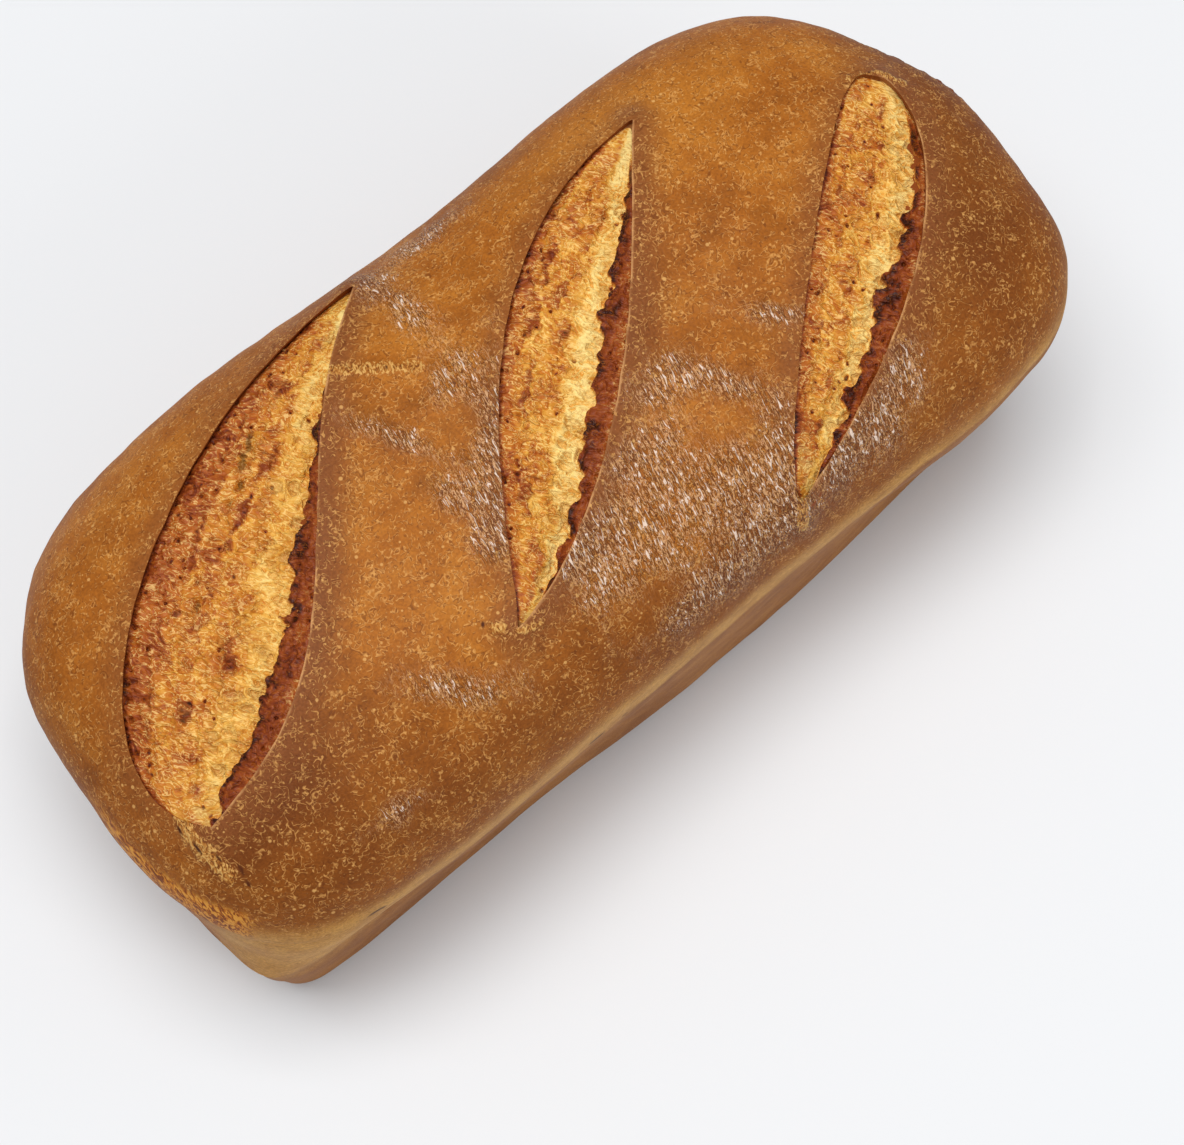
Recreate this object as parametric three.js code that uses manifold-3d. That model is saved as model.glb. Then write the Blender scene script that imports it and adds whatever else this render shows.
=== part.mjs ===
// A whole wheat sourdough loaf, baked in a long tin: one solid of bread.
//
// The lower part has the tin's straight, slightly tapered sides and its flat base. Above
// the tin's rim the crown has sprung out over the sides as a soft lip, and three slanting
// slashes have opened across it. Millimetres, +Z up, +X along the loaf, origin on the
// surface it stands on, below the middle of its bounding box.

import * as THREE from "three";
import { mergeVertices } from "three/addons/utils/BufferGeometryUtils.js";
import Module from "manifold-3d";

// ---- Driving sizes, in millimetres ----

const HEIGHT = 112;            // from the base to the top of the crown
const RIM_HEIGHT = 47;         // where the crown leaves the tin
const WIDEST_HEIGHT = 76;      // where the crown is widest

// The crown's outline from above: a superellipse, squarer at the +X end than at the -X
// end, and how far the dough swelled past it (or fell short of it) at sixteen places
// round the loaf, from the +X end towards +Y. The sides draw in, the far one most.
const CROWN = { halfLength: 130.5, halfWidth: 69, squareness: 3.6, leftSquareness: 3.2 };
const CROWN_SWELL = [1.5, -7, -12.5, -15, -13, -12.5, -12, -5.5, -3, -1, 0.5, -6.5, -7, -7.5, 5, 1.5];

// How square the dome's cross-section is, along the loaf and across it.
const DOME_SQUARENESS = { along: 2.9, across: 2.2 };

// The outline that the tin gave the lower part, at its rim: its centre, how far the sides
// lean in towards the base, and its swell round the loaf: the far right corner is rounded
// off, and the front side and corners stand out, because the dough spread as it cooled.
const TIN = { halfLength: 123.5, halfWidth: 52, squareness: 14.5, leftSquareness: 14.5 };
const TIN_SWELL = [0, 0, -3, 3, 4, 3, -1, 0, 0, 5.5, 3.5, 1, 3, 2.5, -3, 2];
const TIN_CENTRE = [2.5, -5];
const TIN_TAPER = 3;
const BASE_EDGE_RADIUS = 6;
const LIP_BLEND = 6;           // over which the lip's two forms give way to each other

// Each slash runs from its far tip to its near tip. Its two lips stand off the straight
// line between the tips, by at most `out`, most at the share a / (a + b) of the length.
// The torn crumb starts `step` below the left lip and sinks to `depth` beside the right.
const SLASHES = [
  {
    from: [-10, 47.5], to: [-110.5, -29], step: 1.5, depth: 5,
    left: { out: 27.5, a: 0.8, b: 0.4 }, right: { out: 12, a: 2.8, b: 1.15 },
  },
  {
    from: [62, 35], to: [-34, -39], step: 1.5, depth: 5,
    left: { out: 17, a: 0.85, b: 1.2 }, right: { out: 10.5, a: 1.25, b: 0.85 },
  },
  {
    from: [114, 8.5], to: [34, -55.5], step: 1.5, depth: 5,
    left: { out: 8.5, a: 0.22, b: 0.48 }, right: { out: 15.5, a: 0.63, b: 1 },
  },
];
const SLASH_CLEARANCE = 8;     // how far the cutting shape stands above the crust
const SLASH_TIP = 0.012;       // share of the length left uncut at each tip

// How finely the surfaces are divided.
const STEPS_ROUND = 96;
const ROWS = { dome: 17, lip: 5, side: 4, edge: 3, base: 1 };
const SLASH_STEPS = { along: 24, across: 8 };

// ---- Outlines ----

// A smooth closed curve through evenly spaced values, read at an angle (Catmull-Rom).
function aroundLoaf(values, angle) {
  const count = values.length;
  const place = ((angle / (2 * Math.PI)) % 1 + 1) % 1 * count;
  const first = Math.floor(place);
  const t = place - first;
  const [p0, p1, p2, p3] = [-1, 0, 1, 2].map((step) => values[(first + step + count) % count]);
  const bend = 2 * p0 - 5 * p1 + 4 * p2 - p3;
  const twist = 3 * p1 - p0 - 3 * p2 + p3;
  return p1 + 0.5 * t * (p2 - p0 + t * (bend + t * twist));
}

// The point of a swollen superellipse at an angle, in plan.
function outlinePoint(shape, swell, angle, inset = 0) {
  const c = Math.cos(angle);
  const s = Math.sin(angle);
  const n = THREE.MathUtils.lerp(shape.leftSquareness, shape.squareness, (1 + c) / 2);
  const reach = (Math.abs(c) ** n + Math.abs(s) ** n) ** (-1 / n);
  const plain = new THREE.Vector2(
    (shape.halfLength - inset) * c * reach,
    (shape.halfWidth - inset) * s * reach,
  );
  return plain.setLength(plain.length() + aroundLoaf(swell, angle));
}

const crownOutline = (angle) => outlinePoint(CROWN, CROWN_SWELL, angle);

// The tin side at a height: its outline leans in by the taper towards the base.
function tinOutline(angle, height) {
  const inset = TIN_TAPER * (1 - height / RIM_HEIGHT);
  return outlinePoint(TIN, TIN_SWELL, angle, inset).add(new THREE.Vector2(...TIN_CENTRE));
}

// How square the dome is in the direction of an angle.
function domeSquareness(angle) {
  const { along, across } = DOME_SQUARENESS;
  return across + (along - across) * Math.cos(angle) ** 2;
}

// The crust's height above a point in plan, before it was slashed.
function crownHeight(x, y) {
  const angle = Math.atan2(y / CROWN.halfWidth, x / CROWN.halfLength);
  const share = Math.min(Math.hypot(x, y) / crownOutline(angle).length(), 0.999);
  const m = domeSquareness(angle);
  return WIDEST_HEIGHT + (HEIGHT - WIDEST_HEIGHT) * (1 - share ** m) ** (1 / m);
}

// ---- The loaf before it was slashed ----

// The surface's rows from the top of the crown down to the middle of the base. Each takes
// an angle round the loaf and how far through its stretch the row lies, from 0 to 1.
const STRETCHES = [
  {
    rows: ROWS.dome,
    at(angle, t) {
      const m = domeSquareness(angle);
      const turn = (t * Math.PI) / 2;
      const height = Math.max(Math.cos(turn), 0) ** (2 / m) * (HEIGHT - WIDEST_HEIGHT);
      const edge = crownOutline(angle).multiplyScalar(Math.sin(turn) ** (2 / m));
      return [edge.x, edge.y, WIDEST_HEIGHT + height];
    },
  },
  {
    // Tucked under in a quarter ellipse where the crown overhangs the tin's rim, and
    // sloping straight out where a corner of the tin's shape stands out past the crown.
    rows: ROWS.lip,
    at(angle, t) {
      const down = Math.sin((t * Math.PI) / 2);
      const crown = crownOutline(angle);
      const rim = tinOutline(angle, RIM_HEIGHT);
      const corner = THREE.MathUtils.smoothstep(rim.length() - crown.length(), -LIP_BLEND, LIP_BLEND);
      const tucked = 1 - Math.sqrt(Math.max(1 - down * down, 0));
      const point = crown.lerp(rim, THREE.MathUtils.lerp(tucked, down, corner));
      return [point.x, point.y, WIDEST_HEIGHT - down * (WIDEST_HEIGHT - RIM_HEIGHT)];
    },
  },
  {
    rows: ROWS.side,
    at(angle, t) {
      const height = RIM_HEIGHT + t * (BASE_EDGE_RADIUS - RIM_HEIGHT);
      const point = tinOutline(angle, height);
      return [point.x, point.y, height];
    },
  },
  {
    rows: ROWS.edge,
    at(angle, t) {
      const turn = (t * Math.PI) / 2;
      const height = BASE_EDGE_RADIUS * (1 - Math.sin(turn));
      const point = tinOutline(angle, height);
      const inward = BASE_EDGE_RADIUS * (1 - Math.cos(turn));
      point.setLength(point.length() - inward);
      return [point.x, point.y, height];
    },
  },
  {
    rows: ROWS.base,
    at(angle, t) {
      const point = tinOutline(angle, 0);
      point.setLength((point.length() - BASE_EDGE_RADIUS) * (1 - t));
      return [point.x, point.y, 0];
    },
  },
];

// A sphere's rows and columns, laid over the loaf.
function loafGeometry() {
  const rowCount = STRETCHES.reduce((sum, stretch) => sum + stretch.rows, 0);
  const geometry = new THREE.SphereGeometry(1, STEPS_ROUND, rowCount);
  const { position, uv } = geometry.attributes;
  for (let i = 0; i < position.count; i += 1) {
    let row = Math.round((1 - uv.getY(i)) * rowCount);
    let stretch = 0;
    while (row > STRETCHES[stretch].rows) {
      row -= STRETCHES[stretch].rows;
      stretch += 1;
    }
    const angle = 2 * Math.PI * uv.getX(i);
    position.setXYZ(i, ...STRETCHES[stretch].at(angle, row / STRETCHES[stretch].rows));
  }
  return geometry;
}

// ---- The slashes ----

// How far a lip stands off the line between the tips, at a share of its length.
function lipOffset({ out, a, b }, share) {
  const peak = a / (a + b);
  return out * (share / peak) ** a * ((1 - share) / (1 - peak)) ** b;
}

// The bread that a slash took away: a box bent to lie under the crust between the lips.
function slashGeometry({ from, to, left, right, step, depth }) {
  const start = new THREE.Vector2(...from);
  const run = new THREE.Vector2(...to).sub(start);
  const across = new THREE.Vector2(-run.y, run.x).normalize();
  const geometry = new THREE.BoxGeometry(1, 1, 1, SLASH_STEPS.along, SLASH_STEPS.across, 1);
  const { position } = geometry.attributes;
  for (let i = 0; i < position.count; i += 1) {
    const share = SLASH_TIP + (1 - 2 * SLASH_TIP) * (position.getX(i) + 0.5);
    const over = position.getY(i) + 0.5;
    const offset = THREE.MathUtils.lerp(-lipOffset(left, share), lipOffset(right, share), over);
    const point = start.clone().addScaledVector(run, share).addScaledVector(across, offset);
    const sink = THREE.MathUtils.lerp(step, depth * Math.sin(Math.PI * share) ** 0.5, over);
    const lift = position.getZ(i) > 0 ? SLASH_CLEARANCE : -Math.max(sink, step);
    position.setXYZ(i, point.x, point.y, crownHeight(point.x, point.y) + lift);
  }
  return geometry;
}

// ---- Cutting the solid ----

const wasm = await Module();
wasm.setup();

function toSolid(geometry) {
  geometry.deleteAttribute("normal");
  geometry.deleteAttribute("uv");
  const merged = mergeVertices(geometry, 1e-4);
  return new wasm.Manifold(new wasm.Mesh({
    numProp: 3,
    vertProperties: Float32Array.from(merged.attributes.position.array),
    triVerts: Uint32Array.from(merged.index.array),
  }));
}

function toGeometry(solid) {
  const mesh = solid.getMesh();
  const geometry = new THREE.BufferGeometry();
  geometry.setAttribute("position", new THREE.BufferAttribute(mesh.vertProperties, 3));
  geometry.setIndex(new THREE.BufferAttribute(mesh.triVerts, 1));
  geometry.computeVertexNormals();
  return geometry;
}

function loafMesh() {
  let bread = toSolid(loafGeometry());
  for (const slash of SLASHES) bread = bread.subtract(toSolid(slashGeometry(slash)));
  const geometry = toGeometry(bread);
  geometry.computeBoundingBox();
  const middle = geometry.boundingBox.getCenter(new THREE.Vector3());
  geometry.translate(-middle.x, -middle.y, 0);
  const crust = new THREE.MeshStandardMaterial({ color: "#a8672c", roughness: 0.5, metalness: 0 });
  const mesh = new THREE.Mesh(geometry, crust);
  mesh.name = "loaf";
  return mesh;
}

const loaf = new THREE.Group();
loaf.add(loafMesh());

export default loaf;
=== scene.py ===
"""A whole wheat sourdough loaf baked in a long tin, with three slashes across its crown."""

from math import cos, pi, radians, sin

import bpy
import numpy as np
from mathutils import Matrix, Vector


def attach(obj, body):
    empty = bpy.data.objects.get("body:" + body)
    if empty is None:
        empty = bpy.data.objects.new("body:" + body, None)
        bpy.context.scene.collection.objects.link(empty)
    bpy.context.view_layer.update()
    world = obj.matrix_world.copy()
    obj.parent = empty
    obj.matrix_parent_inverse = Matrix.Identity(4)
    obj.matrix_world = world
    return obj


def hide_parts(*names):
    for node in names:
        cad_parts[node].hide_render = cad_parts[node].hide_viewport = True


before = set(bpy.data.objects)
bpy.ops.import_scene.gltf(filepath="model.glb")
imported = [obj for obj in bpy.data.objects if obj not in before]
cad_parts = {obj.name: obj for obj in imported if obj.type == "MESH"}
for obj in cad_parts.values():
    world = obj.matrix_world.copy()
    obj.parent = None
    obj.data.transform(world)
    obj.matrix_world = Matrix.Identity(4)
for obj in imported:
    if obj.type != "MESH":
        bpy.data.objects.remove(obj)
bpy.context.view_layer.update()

# ---------------------------------------------------------------------------------------
# The crust: one skin of baked whole wheat dough all round the loaf. The tin shaped its sides
# and base, its crown rose out of the tin and swelled over the rim, and three slashes opened
# in it as it baked. Lengths are millimetres until a mesh is made.
# ---------------------------------------------------------------------------------------

MM = 0.001
HEIGHT = 112.0            # top of the crown
WIDEST_HEIGHT = 76.0      # where the crown is widest
RIM_HEIGHT = 47.0         # where the crown leaves the tin
# The crown's outline from above: a superellipse, and how far the dough swelled past it, or
# fell short of it, at sixteen places round the loaf from the +X end towards +Y.
CROWN = dict(half_length=130.5, half_width=69.0, squareness=3.6, left_squareness=3.2)
CROWN_SWELL = [1.5, -7, -12.5, -15, -13, -12.5, -12, -5.5, -3, -1, 0.5, -6.5, -7, -7.5, 5, 1.5]
DOME_ALONG, DOME_ACROSS = 2.9, 2.2       # how square the dome's section is each way
# The outline that the tin gave the lower part at its rim, in the same way.
TIN = dict(half_length=123.5, half_width=52.0, squareness=14.5, left_squareness=14.5)
TIN_SWELL = [0, 0, -3, 3, 4, 3, -1, 0, 0, 5.5, 3.5, 1, 3, 2.5, -3, 2]
TIN_CENTRE = (2.5, -5.0)
TIN_TAPER = 3.0           # how far the sides lean in towards the base
BASE_EDGE_RADIUS = 6.0
LIP_BLEND = 6.0           # over which the lip's tucked and sloping forms give way to each other

CROWN_STEPS = (340, 170)  # along the loaf and across it
LIP_ROWS, SIDE_ROWS, EDGE_ROWS, BASE_ROWS = 12, 10, 3, 4
MIDDLE = np.array([2.064, -3.056, 0])    # the middle of the loaf's box, which goes to the origin


def smoothstep(value, low, high):
    """0 below low, 1 above high, and 3t^2 - 2t^3 of the share t between."""
    t = np.clip((value - low) / (high - low), 0, 1)
    return t * t * (3 - 2 * t)


def around_loaf(values, angle):
    """A smooth closed curve through evenly spaced values, read at an angle: each stretch is a
    Catmull-Rom cubic, whose slope at a value is half the difference of its neighbours."""
    values = np.asarray(values, float)
    place = (angle / (2 * pi)) % 1 * len(values)
    first = np.floor(place).astype(int)
    t = place - first
    p0, p1, p2, p3 = (values[(first + step) % len(values)] for step in (-1, 0, 1, 2))
    bend = 2 * p0 - 5 * p1 + 4 * p2 - p3
    twist = 3 * p1 - p0 - 3 * p2 + p3
    return p1 + 0.5 * t * (p2 - p0 + t * (bend + t * twist))


def outline(shape, swell, angle, inset=0.0):
    """Plan points of a superellipse |x/a|^n + |y/b|^n = 1 at angles, each then pushed out
    along its own direction by the swell there. Its squareness n differs end to end."""
    c, s = np.cos(angle), np.sin(angle)
    n = shape["left_squareness"] + (shape["squareness"] - shape["left_squareness"]) * (1 + c) / 2
    reach = (np.abs(c) ** n + np.abs(s) ** n) ** (-1 / n)
    plain = np.stack([(shape["half_length"] - inset) * c, (shape["half_width"] - inset) * s], -1)
    plain *= reach[..., None]
    length = np.linalg.norm(plain, axis=-1)
    return plain * ((length + around_loaf(swell, angle)) / length)[..., None]


def tin_outline(angle, height):
    """The tin's outline at a height: its walls lean in evenly from the rim to the base."""
    return outline(TIN, TIN_SWELL, angle, TIN_TAPER * (1 - height / RIM_HEIGHT)) + TIN_CENTRE


def dome_power(angle):
    """How square the dome's section is: across the loaf, rising to along it as cos squared."""
    return DOME_ACROSS + (DOME_ALONG - DOME_ACROSS) * np.cos(angle) ** 2


def dome_arc(turn, power):
    """Share of the reach and of the rise at a turn from 0 at the top to a right angle at the
    widest edge: sin and cos of the turn, each to the power 2 / power."""
    return np.sin(turn) ** (2 / power), np.maximum(np.cos(turn), 0) ** (2 / power)


def even_turns(angle, share):
    """The turn that lies a share of the way down the dome's arc. Each arc is measured in 300
    short straight pieces at 361 angles, and the table of its turns is read between them."""
    around, pieces, down = 360, 300, 200
    angles = np.linspace(0, 2 * pi, around + 1)
    turns = smoothstep(np.linspace(0, 1, pieces + 1), 0, 1) * pi / 2
    reach, rise = dome_arc(turns[None], dome_power(angles)[:, None])
    across = reach * np.linalg.norm(outline(CROWN, CROWN_SWELL, angles), axis=1)[:, None]
    up = rise * (HEIGHT - WIDEST_HEIGHT)
    run = np.hypot(np.diff(across, axis=1), np.diff(up, axis=1)).cumsum(axis=1)
    run = np.hstack([np.zeros((around + 1, 1)), run])
    shares = np.linspace(0, 1, down + 1)
    table = np.array([np.interp(shares, row / row[-1], turns) for row in run])
    a = (angle / (2 * pi)) % 1 * around
    b = share * down
    i, j = np.minimum(a.astype(int), around - 1), np.minimum(b.astype(int), down - 1)
    fa, fb = a - i, b - j
    near = table[i, j] * (1 - fb) + table[i, j + 1] * fb
    far = table[i + 1, j] * (1 - fb) + table[i + 1, j + 1] * fb
    return near * (1 - fa) + far * fa


def mixed(cells, seed):
    """A repeatable random number from 0 to 1 for each cell of a lattice: its whole numbers are
    multiplied by large primes and mixed by exclusive-or and shifts."""
    n = np.floor(cells).astype(np.int64)
    h = n[..., 0] * 73856093 ^ n[..., 1] * 19349663 ^ n[..., 2] * 83492791 ^ seed * 974634777
    h = (h ^ (h >> 13)) * 1274126177
    h = (h ^ (h >> 16)) * 668265263
    return ((h ^ (h >> 15)) & 0xFFFFFF) / 0xFFFFFF


def noise(points, size, seed):
    """Smooth noise of about -1 to 1. Each corner of a lattice of cubes of that size holds a
    random slope, and the eight slopes are blended by 6t^5 - 15t^4 + 10t^3 of the place, then
    made 1.7 times as strong to fill that span."""
    scaled = np.asarray(points, float) / size
    cell = np.floor(scaled)
    t = scaled - cell
    ease = t**3 * (t * (6 * t - 15) + 10)
    total = np.zeros(scaled.shape[:-1])
    for corner in np.ndindex(2, 2, 2):
        weight = np.prod(np.where(corner, ease, 1 - ease), axis=-1)
        turn = 2 * pi * mixed(cell + corner, seed)
        rise = 2 * mixed(cell + corner, seed + 77) - 1
        flat = np.sqrt(1 - rise**2)
        offset = t - corner
        slope = flat * (np.cos(turn) * offset[..., 0] + np.sin(turn) * offset[..., 1])
        total += weight * (slope + rise * offset[..., 2])
    return total * 1.7


def layered_noise(points, size, seed, layers=3, fade=0.5):
    """Noise with finer noise on it: each layer is half the size and `fade` the strength."""
    return sum(fade**k * noise(points, size / 2**k, seed + k) for k in range(layers))


def in_plan(x, y):
    """Points on the plane z = 0, for noise that is read in plan."""
    return np.stack([x, y, np.zeros_like(x)], -1)


def dough_swell(x, y, g):
    """Broad low swells of the dough, in plan, which die away towards the crown's edge."""
    plan = in_plan(x, y)
    return (0.9 * noise(plan, 42, 3) + 0.35 * noise(plan, 19, 4)) * smoothstep(1 - g, 0, 0.25)


def crown_angle(x, y):
    """The angle of the crown's outline that lies out past a plan point: that of the point
    when the loaf is squeezed to a round one."""
    return np.arctan2(y / CROWN["half_width"], x / CROWN["half_length"])


def crown_height(x, y):
    """The crust's height above a plan point, before it was slashed: the superellipse
    g^m + h^m = 1 of the share g of the way out and the share h of the way up, with the
    dough's swells on it."""
    angle = crown_angle(x, y)
    edge = np.linalg.norm(outline(CROWN, CROWN_SWELL, angle), axis=-1)
    g = np.minimum(np.hypot(x, y) / edge, 0.9995)
    m = dome_power(angle)
    rise = (1 - g**m) ** (1 / m)
    return WIDEST_HEIGHT + (HEIGHT - WIDEST_HEIGHT) * rise + dough_swell(x, y, g)


# Each slash runs from its far tip to its near tip. Its left and right lips stand off the
# straight line between the tips: by at most the first number, and most at the share
# a / (a + b) of the length, a and b being the other two. `wall`, how wide the dark inner face
# beside the right lip shows, and `band`, how wide the browned band beside the left lip is,
# are given in the same way.
SLASHES = [
    dict(
        start=(-10, 47.5), end=(-110.5, -29), left=(27.5, 0.8, 0.4), right=(12, 2.8, 1.15),
        wall=(7.2, 2.4, 0.75), band=(9.0, 1.2, 0.9),
    ),
    dict(
        start=(62, 35), end=(-34, -39), left=(17, 0.85, 1.2), right=(10.5, 1.25, 0.85),
        wall=(5.8, 2.0, 1.8), band=(3.6, 1.2, 0.9),
    ),
    dict(
        start=(114, 8.5), end=(34, -55.5), left=(8.5, 0.22, 0.48), right=(15.5, 0.63, 1),
        wall=(5.3, 1.8, 1.6), band=(3.2, 1.2, 0.9),
    ),
]
SLASH_CLEARANCE = 9.0     # how far the cutting shape stands above the crust
SLASH_TIP = 0.002         # share of the length left uncut at each tip
UNDER_LEFT, UNDER_RIGHT = 1.3, 0.8       # how far the cut runs in under each lip
SLASH_STEPS, FLOOR_STEPS = 240, 17


def bulge(size, share):
    """How far a lip stands off at a share of the length: out * (s/p)^a * ((1-s)/(1-p))^b,
    where p = a / (a + b) is where it stands off most."""
    out, a, b = size
    peak = a / (a + b)
    s = np.clip(share, 0, 1)
    return out * (s / peak) ** a * ((1 - s) / (1 - peak)) ** b


def slash_axes(slash):
    """A slash's start, its length, and the unit directions along it and across it."""
    start = np.array(slash["start"], float)
    run = np.array(slash["end"], float) - start
    length = np.hypot(*run)
    along = run / length
    return start, length, along, np.array([-along[1], along[0]])


def slash_plan(slash, share, offset):
    """Plan points a share of the way along a slash and an offset across it."""
    start, length, along, across = slash_axes(slash)
    return start + (share * length)[..., None] * along + offset[..., None] * across


def distance_to_line(x, y, line):
    """Distance in plan to a line of points: the least of the distances to its straight
    pieces, each to the nearest point that the piece itself holds."""
    nearest = np.full(x.shape, np.inf)
    for a, b in zip(line[:-1], line[1:]):
        step = b - a
        t = np.clip(((x - a[0]) * step[0] + (y - a[1]) * step[1]) / (step @ step), 0, 1)
        nearest = np.minimum(nearest, np.hypot(x - a[0] - t * step[0], y - a[1] - t * step[1]))
    return nearest


def lip_distances(x, y):
    """Distances in plan to the nearest left lip and the nearest right lip, and whether the
    point lies inside an opening, for the points near a slash. Elsewhere they are 99."""
    left, right = np.full(x.shape, 99.0), np.full(x.shape, 99.0)
    inside = np.zeros(x.shape, bool)
    shares = np.sin(np.linspace(0, pi / 2, 110)) ** 2
    for slash in SLASHES:
        start, length, along, across = slash_axes(slash)
        s = ((x - start[0]) * along[0] + (y - start[1]) * along[1]) / length
        o = (x - start[0]) * across[0] + (y - start[1]) * across[1]
        near = (s > -0.2) & (s < 1.2) & (o > -45) & (o < 35)
        lips = (-bulge(slash["left"], shares), left), (bulge(slash["right"], shares), right)
        for offsets, found in lips:
            line = slash_plan(slash, shares, offsets)
            found[near] = np.minimum(found[near], distance_to_line(x[near], y[near], line))
        inside |= (o > -bulge(slash["left"], s)) & (o < bulge(slash["right"], s)) & (abs(s - 0.5) < 0.5)
    return left, right, inside


def crown_grid():
    """A square grid bent into a disc, x = u * sqrt(1 - v^2 / 2) and y = v * sqrt(1 - u^2 / 2),
    and laid over the dome: the place in the disc gives the angle round the loaf and the share
    of the way down from the top."""
    v, u = np.meshgrid(*(np.linspace(-1, 1, n + 1) for n in CROWN_STEPS[::-1]), indexing="ij")
    x, y = u * np.sqrt(1 - v * v / 2), v * np.sqrt(1 - u * u / 2)
    angle, share = np.arctan2(y, x), np.minimum(np.hypot(x, y), 1)
    reach, rise = dome_arc(even_turns(angle, share), dome_power(angle))
    plan = outline(CROWN, CROWN_SWELL, angle) * reach[..., None]
    x, y = plan[..., 0], plan[..., 1]
    return x, y, WIDEST_HEIGHT + (HEIGHT - WIDEST_HEIGHT) * rise + dough_swell(x, y, reach), angle


def overhang(angle):
    """How far the tin's rim stands out past the crown's edge, at an angle of the outline."""
    crown, rim = outline(CROWN, CROWN_SWELL, angle), tin_outline(angle, RIM_HEIGHT)
    return np.linalg.norm(rim, axis=-1) - np.linalg.norm(crown, axis=-1)


def lower_rows(angle):
    """Rings of points below the crown's widest edge: a lip that tucks in under a quarter
    ellipse where it overhangs the tin and slopes straight out where a corner stands out past
    it, the leaning side, the rounded edge, and the flat base."""
    down = np.sin(np.linspace(0, pi / 2, LIP_ROWS + 1))[1:, None]
    crown, rim = outline(CROWN, CROWN_SWELL, angle), tin_outline(angle, RIM_HEIGHT)
    corner = smoothstep(overhang(angle), -LIP_BLEND, LIP_BLEND)
    tucked = 1 - np.sqrt(1 - down**2)
    way = tucked + (down - tucked) * corner
    lip_height = WIDEST_HEIGHT - down * (WIDEST_HEIGHT - RIM_HEIGHT) + 0 * way
    rows = [np.dstack([crown + (rim - crown) * way[..., None], lip_height])]
    for share in np.linspace(0, 1, SIDE_ROWS + 1)[1:]:
        height = RIM_HEIGHT + (BASE_EDGE_RADIUS - RIM_HEIGHT) * share**1.3
        rows.append(np.column_stack([tin_outline(angle, height), np.full(angle.shape, height)])[None])
    for turn in np.linspace(0, pi / 2, EDGE_ROWS + 1)[1:]:
        height = BASE_EDGE_RADIUS * (1 - sin(turn))
        ring = tin_outline(angle, height)
        length = np.linalg.norm(ring, axis=-1, keepdims=True)
        ring = ring * (length - BASE_EDGE_RADIUS * (1 - cos(turn))) / length
        rows.append(np.column_stack([ring, np.full(angle.shape, height)])[None])
    base = rows[-1][0] * (1, 1, 0)
    for share in np.linspace(0, 1, BASE_ROWS + 1)[1:-1]:
        rows.append((base * (1 - share))[None])
    return np.concatenate(rows)


def loaf_surface():
    """Points and faces of the whole loaf before it was slashed: the crown's grid, rings from
    its edge down to the base, and a fan to one point that closes the middle of the base."""
    x, y, z, angle = crown_grid()
    rows, columns = x.shape
    index = np.arange(rows * columns).reshape(rows, columns)
    quads = [np.stack([index[:-1, :-1], index[:-1, 1:], index[1:, 1:], index[1:, :-1]], -1).reshape(-1, 4)]
    rim = np.concatenate([index[0, :-1], index[:-1, -1], index[-1, :0:-1], index[:0:-1, 0]])
    lower = lower_rows(angle.ravel()[rim])
    rings = np.vstack([rim, x.size + np.arange(lower[..., 0].size).reshape(lower.shape[:2])])
    following = np.roll(rings, -1, axis=1)
    quads.append(np.stack([rings[:-1], rings[1:], following[1:], following[:-1]], -1).reshape(-1, 4))
    points = np.vstack([np.stack([x, y, z], -1).reshape(-1, 3), lower.reshape(-1, 3), [[*TIN_CENTRE, 0]]])
    fan = np.stack([rings[-1], np.full(len(rim), len(points) - 1), following[-1]], -1)
    return points, np.vstack(quads), fan


def outward(points, quads):
    """A unit normal for each point: the sum of its faces' area vectors, made one long. The last
    point is the middle of the base, and faces straight down."""
    total = np.zeros_like(points)
    area = np.cross(points[quads[:, 2]] - points[quads[:, 0]], points[quads[:, 3]] - points[quads[:, 1]])
    for corner in quads.T:
        for k in range(3):
            total[:, k] += np.bincount(corner, area[:, k], len(points))
    total[-1] = (0, 0, -1)
    return total / np.maximum(np.linalg.norm(total, axis=1, keepdims=True), 1e-9)


def at_rim_tear(x, y, z, reach):
    """Where the rim tore open as it rose at the right end: 1 within 3 of its height, fading
    to 0 at `reach`, on a stretch of the loaf's end that fades out in the same way."""
    return smoothstep(x, 112, 122) * smoothstep(np.abs(z - 84), reach, 3) * smoothstep(np.abs(y - 8), 20, 10)


def risen(points):
    """The crust's relief, outward in millimetres: swells of the dough, small lumps, a rounded
    ear along each lip, higher on the right, the torn rim, and a fuller flank above the
    corners that stand out past the crown."""
    x, y, z = points.T
    crown = smoothstep(z, 66, 82)
    relief = crown * (0.16 * noise(points, 9, 11) + 0.10 * noise(points, 4.5, 12))
    relief += (1 - crown) * (0.35 * noise(points, 26, 13) + 0.12 * noise(points, 8, 14))
    left, right, _ = lip_distances(x, y)
    relief += crown * (1.1 * np.exp(-((right / 4.5) ** 2)) + 0.7 * np.exp(-((left / 4) ** 2)))
    relief += at_rim_tear(x, y, z, 8) * (0.7 * noise(points, 3.2, 15) + 0.5 * noise(points, 1.7, 16) - 0.2)
    out = np.clip(overhang(crown_angle(x, y)), 0, 12)
    relief += out * (0.28 * np.exp(-(((z - 74) / 11) ** 2)) - 0.08 * np.exp(-(((z - 45) / 6) ** 2)))
    relief[z < 0.01] = 0
    return relief * smoothstep(z, 0, 6)


def object_from(name, points, faces):
    """An object at the origin, with a smooth mesh of those points and faces, in metres, and
    the loaf's middle moved over the origin."""
    mesh = bpy.data.meshes.new(name)
    mesh.from_pydata(((points - MIDDLE) * MM).tolist(), [], faces)
    mesh.shade_smooth()
    piece = bpy.data.objects.new(name, mesh)
    bpy.context.scene.collection.objects.link(piece)
    return piece


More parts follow.
